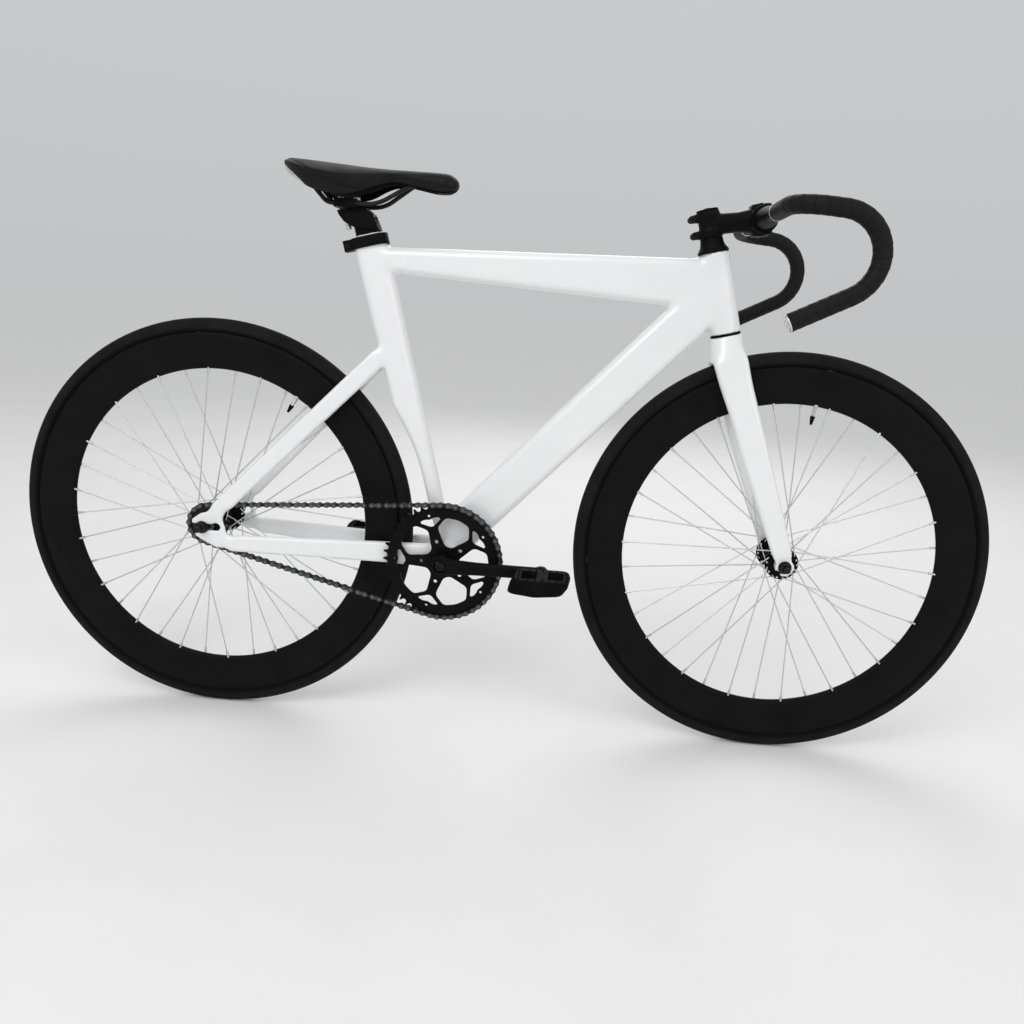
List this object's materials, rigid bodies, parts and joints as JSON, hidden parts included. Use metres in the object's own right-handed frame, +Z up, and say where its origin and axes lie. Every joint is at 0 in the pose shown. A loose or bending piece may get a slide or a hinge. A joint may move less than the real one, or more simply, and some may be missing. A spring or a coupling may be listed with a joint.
{
  "type": "fixed gear bike",
  "caption": "Fixed gear road-style bicycle with aero tubes, drop bars, deep rims, one chainring and one cog, platform pedals and a slim saddle.",
  "frame": {"origin": "on the ground, midway between the two wheels' contact points", "axes": "+X forward, +Y left, +Z up; the drive side is -Y"},
  "size_m": [1.635, 0.4456, 0.9389],
  "materials": {
    "frame_paint": "gloss white paint",
    "black_alloy": "satin black anodised",
    "rim_black": "semi-gloss black",
    "bright_steel": "bright",
    "black_steel": "black oxide",
    "tyre_rubber": "matte",
    "tube_rubber": "matte",
    "saddle_leather": "satin black",
    "black_plastic": "matte moulded",
    "bar_wrap": "wrapped tape",
    "plug_chrome": "bright"
  },
  "bodies": {
    "frame": {"head_tube": "frame_paint", "top_tube": "frame_paint", "down_tube": "frame_paint", "seat_tube": "frame_paint", "bottom_bracket_shell": "frame_paint", "chain_stays": "frame_paint", "seat_stays": "frame_paint", "rear_dropouts": "frame_paint", "headset_bearings": "bright_steel", "bottom_bracket_cups": "black_alloy", "bottom_bracket_bearings": "bright_steel", "seat_collar": "black_alloy", "seat_collar_bolt": "black_steel", "rear_axle": "bright_steel", "rear_axle_nuts": "black_steel", "chain": "black_steel"},
    "seat": {"seatpost": "black_alloy", "saddle_clamp": "black_alloy", "saddle_clamp_bolts": "bright_steel", "saddle_rails": "black_steel", "saddle_shell": "black_plastic", "saddle_cover": "saddle_leather"},
    "steering": {"steerer_tube": "black_alloy", "fork_crown": "frame_paint", "fork_blade_right": "frame_paint", "fork_blade_left": "frame_paint", "fork_ends": "frame_paint", "headset_cover": "black_alloy", "stem": "black_alloy", "stem_faceplate": "black_alloy", "stem_bolts": "black_steel", "stem_top_cap": "black_alloy", "handlebar": "black_alloy", "bar_tape_right": "bar_wrap", "bar_tape_left": "bar_wrap", "bar_end_plugs": "plug_chrome", "front_axle": "bright_steel", "front_axle_nuts": "black_steel"},
    "front_wheel": {"front_tyre": "tyre_rubber", "front_inner_tube": "tube_rubber", "front_rim": "rim_black", "front_spokes": "bright_steel", "front_hub": "black_alloy", "front_hub_bearings": "bright_steel"},
    "rear_wheel": {"rear_tyre": "tyre_rubber", "rear_inner_tube": "tube_rubber", "rear_rim": "rim_black", "rear_spokes": "bright_steel", "rear_hub": "black_alloy", "rear_hub_bearings": "bright_steel", "fixed_cog": "black_steel", "cog_lockring": "black_steel"},
    "crank": {"crank_spindle": "bright_steel", "crank_arm_right": "black_alloy", "crank_arm_left": "black_alloy", "chainring": "black_alloy", "crank_bolts": "black_steel", "pedal_spindles": "black_steel"},
    "right_pedal": {"pedal_right": "black_plastic"},
    "left_pedal": {"pedal_left": "black_plastic"}
  },
  "joints": [
    {"name": "steering_turn", "type": "hinge", "parent": "frame", "child": "steering", "pos_m": [0.33975, 0, 0.75896], "axis": [-0.247, 0, 0.969], "range_deg": [-85, 85]},
    {"name": "front_wheel_spin", "type": "hinge", "parent": "steering", "child": "front_wheel", "pos_m": [0.4775, 0, 0.34], "axis": [0, 1, 0], "continuous": true},
    {"name": "crank_spin", "type": "hinge", "parent": "frame", "child": "crank", "pos_m": [-0.0778, 0, 0.303], "axis": [0, 1, 0], "continuous": true, "deforming": ["chain"]},
    {"name": "rear_wheel_spin", "type": "hinge", "parent": "frame", "child": "rear_wheel", "pos_m": [-0.4775, 0, 0.34], "axis": [0, 1, 0], "continuous": true},
    {"name": "right_pedal_spin", "type": "hinge", "parent": "crank", "child": "right_pedal", "pos_m": [0.0872, -0.113, 0.303], "axis": [0, 1, 0], "continuous": true},
    {"name": "left_pedal_spin", "type": "hinge", "parent": "crank", "child": "left_pedal", "pos_m": [-0.2428, 0.113, 0.303], "axis": [0, 1, 0], "continuous": true},
    {"name": "seat_height", "type": "slide", "parent": "frame", "child": "seat", "axis": [-0.2453, 0, 0.9694], "range_m": [0, 0.1]}
  ],
  "couplings": [
    {"joint": "crank_spin", "follows": "rear_wheel_spin", "ratio": 0.33333}
  ]
}
